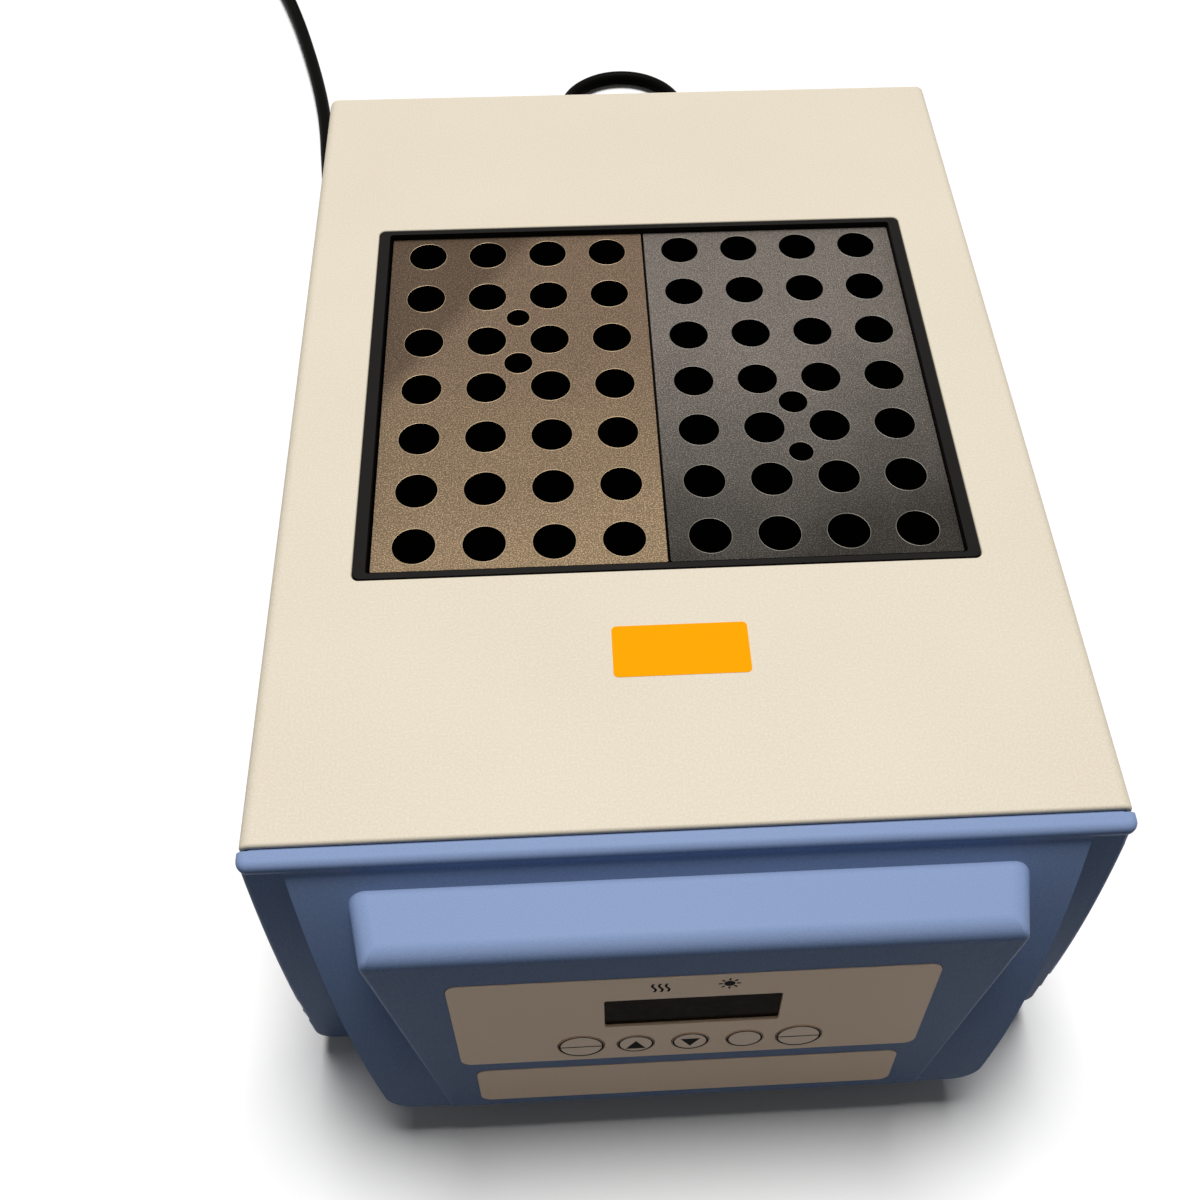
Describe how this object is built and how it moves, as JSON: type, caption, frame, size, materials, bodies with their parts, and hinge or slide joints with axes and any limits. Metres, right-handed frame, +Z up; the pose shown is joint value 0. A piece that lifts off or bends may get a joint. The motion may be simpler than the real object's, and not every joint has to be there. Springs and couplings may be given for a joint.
{
  "type": "dry bath incubator",
  "caption": "Bench-top dry bath with lift-out aluminium tube blocks, cream sheet-metal cover, blue moulded front with key panel, and a mains lead.",
  "frame": {"origin": "on the bench, under the middle of the instrument's footprint", "axes": "+X to the right of someone who faces the control panel, +Y away from them towards the rear panel, +Z up; the panel faces -Y"},
  "size_m": [0.2953, 0.6904, 0.114],
  "materials": {
    "cream_paint": "smooth semi-gloss cream paint on sheet steel",
    "blue_plastic": "moulded plastic with a fine grained texture, blue grey",
    "black_frame": "satin black",
    "block_left": "bead-blasted aluminium",
    "block_right": "bead-blasted aluminium, a little darker",
    "plate_aluminium": "milled aluminium",
    "stainless": "bright stainless sheet",
    "zinc_steel": "zinc-plated steel",
    "black_paint": "matt black paint",
    "heater_foil": "orange-brown silicone rubber heater",
    "insulation": "glass-fibre board",
    "overlay": "printed polyester sheet",
    "label": "printed polyester label, bare",
    "display_tint": "dark tinted clear plastic",
    "display": "display package",
    "key_rubber": "moulded key",
    "circuit_board": "green circuit board",
    "component_black": "moulded electrical part",
    "transformer_steel": "varnished laminated steel",
    "black_aluminium": "black anodised",
    "ribbon": "grey flat cable",
    "brass": "plated brass",
    "foot_rubber": "black rubber",
    "cord_rubber": "black cord jacket",
    "tie": "black strap"
  },
  "bodies": {
    "instrument": {"top_cover": "cream_paint", "cover_screws": "zinc_steel", "bezel_frame": "black_frame", "well_tray": "stainless", "heater_plate": "plate_aluminium", "heater_mat": "heater_foil", "insulation_board": "insulation", "insulation_jacket": "insulation", "heater_posts": "zinc_steel", "post_screws": "zinc_steel", "temperature_sensor": "stainless", "thermal_cutout": "component_black", "base_pan": "cream_paint", "feet": "foot_rubber", "foot_screws": "zinc_steel", "rear_panel": "cream_paint", "rear_screws": "zinc_steel", "earth_stud": "brass", "front_fascia": "blue_plastic", "fascia_screws": "zinc_steel", "membrane_overlay": "overlay", "display_window": "display_tint", "display_module": "display", "lower_label": "label", "tact_switches": "component_black", "control_board": "circuit_board", "board_screws": "zinc_steel", "board_standoffs": "brass", "power_board": "circuit_board", "power_screws": "zinc_steel", "transformer": "transformer_steel", "triac_heatsink": "black_aluminium", "ribbon_cable": "ribbon", "mains_inlet": "component_black", "inlet_pins": "brass", "inlet_screws": "zinc_steel", "switch_housing": "component_black", "cord_connector": "cord_rubber", "cord_tube": "cord_rubber", "cord_coil": "cord_rubber", "cord_tie": "tie", "cord_tail": "cord_rubber", "cord_plug": "cord_rubber", "plug_blades": "brass"},
    "block_left_body": {"block_left": "block_left"},
    "block_right_body": {"block_right": "block_right"},
    "fuse_drawer_part": {"fuse_drawer": "component_black"},
    "switch_rocker_part": {"switch_rocker": "component_black"},
    "key_set_part": {"key_set": "key_rubber"},
    "key_up_part": {"key_up": "key_rubber"},
    "key_down_part": {"key_down": "key_rubber"},
    "key_shift_part": {"key_shift": "key_rubber"},
    "key_start_part": {"key_start": "key_rubber"}
  },
  "joints": [
    {"name": "block_left_lift", "type": "slide", "parent": "instrument", "child": "block_left_body", "axis": [0, 0, 1], "range_m": [0, 0.055]},
    {"name": "block_right_lift", "type": "slide", "parent": "instrument", "child": "block_right_body", "axis": [0, 0, 1], "range_m": [0, 0.055]},
    {"name": "fuse_drawer_slide", "type": "slide", "parent": "instrument", "child": "fuse_drawer_part", "axis": [0, 1, 0], "range_m": [0, 0.018]},
    {"name": "switch_rocker_hinge", "type": "hinge", "parent": "instrument", "child": "switch_rocker_part", "pos_m": [-0.012, 0.1541, 0.047], "axis": [-1, 0, 0], "range_deg": [0, 20]},
    {"name": "key_set_press", "type": "slide", "parent": "instrument", "child": "key_set_part", "axis": [0, 0.9877, -0.1564], "range_m": [0, 0.0005], "stiffness_N_per_m": 400},
    {"name": "key_up_press", "type": "slide", "parent": "instrument", "child": "key_up_part", "axis": [0, 0.9877, -0.1564], "range_m": [0, 0.0005], "stiffness_N_per_m": 400},
    {"name": "key_down_press", "type": "slide", "parent": "instrument", "child": "key_down_part", "axis": [0, 0.9877, -0.1564], "range_m": [0, 0.0005], "stiffness_N_per_m": 400},
    {"name": "key_shift_press", "type": "slide", "parent": "instrument", "child": "key_shift_part", "axis": [0, 0.9877, -0.1564], "range_m": [0, 0.0005], "stiffness_N_per_m": 400},
    {"name": "key_start_press", "type": "slide", "parent": "instrument", "child": "key_start_part", "axis": [0, 0.9877, -0.1564], "range_m": [0, 0.0005], "stiffness_N_per_m": 400}
  ]
}
